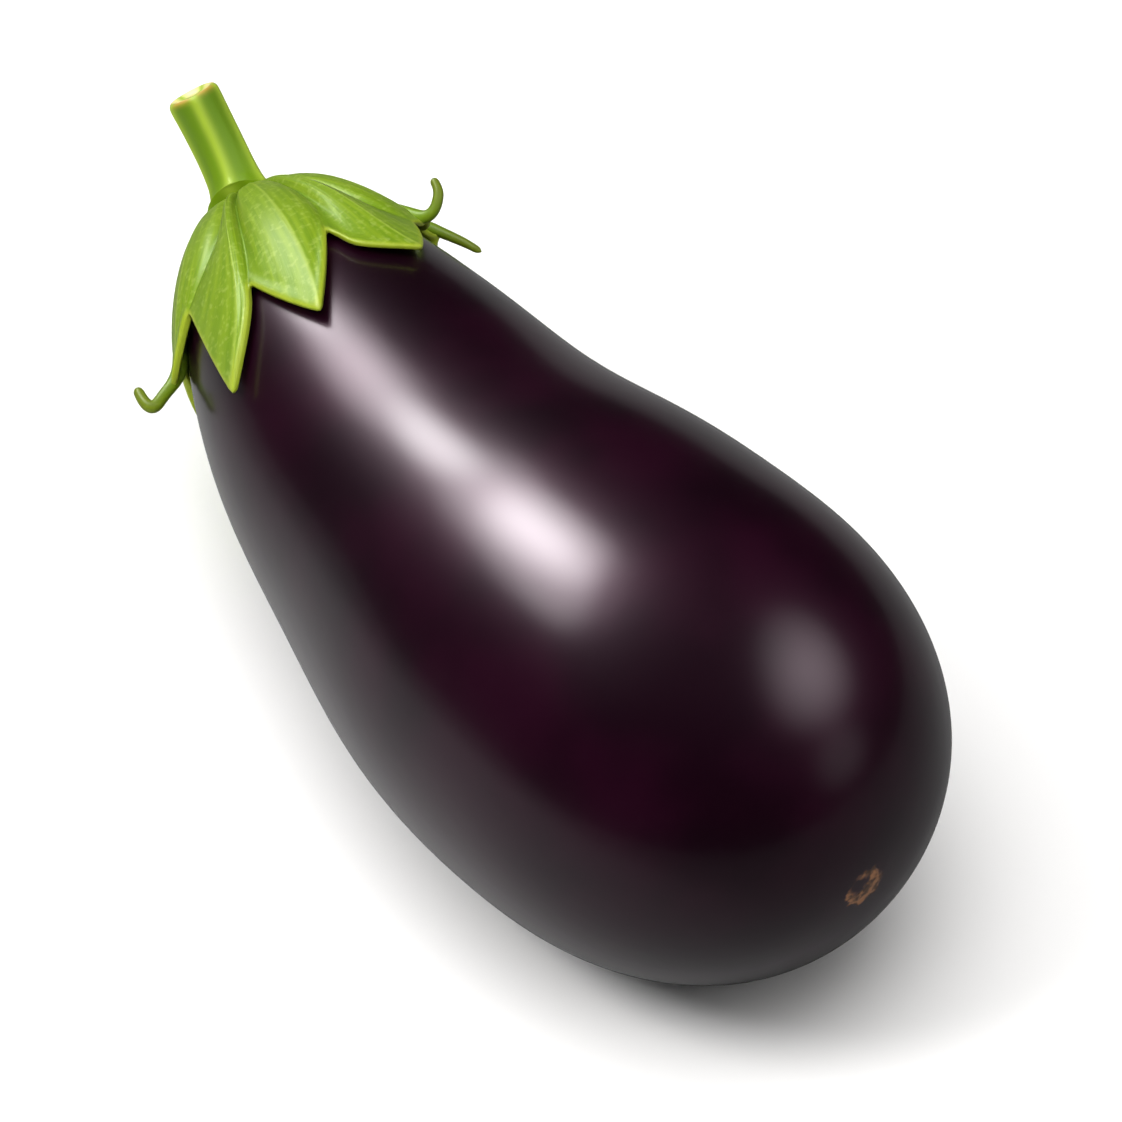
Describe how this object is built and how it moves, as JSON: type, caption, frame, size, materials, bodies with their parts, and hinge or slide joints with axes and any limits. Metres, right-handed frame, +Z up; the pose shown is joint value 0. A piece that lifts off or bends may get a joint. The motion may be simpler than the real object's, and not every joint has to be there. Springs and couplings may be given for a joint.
{
  "type": "eggplant",
  "caption": "Glossy dark purple globe eggplant lying on its side, with a pointed green calyx and a short cut stem.",
  "frame": {"origin": "on the surface that the eggplant rests on, under the middle of its bounding box", "axes": "+Y along the bulb from the blossom end to the stem end, +Z up, +X the way the neck bends sideways"},
  "size_m": [0.092, 0.2144, 0.0908],
  "materials": {
    "skin": "smooth waxy skin with a high natural gloss, near-black purple",
    "calyx_green": "fleshy yellow-green sepals with fine veins and a soft satin surface",
    "stem_green": "ridged green stalk with a dry tan rim at the cut"
  },
  "bodies": {
    "root": {"fruit": "skin", "calyx": "calyx_green", "stem": "stem_green"}
  },
  "joints": []
}
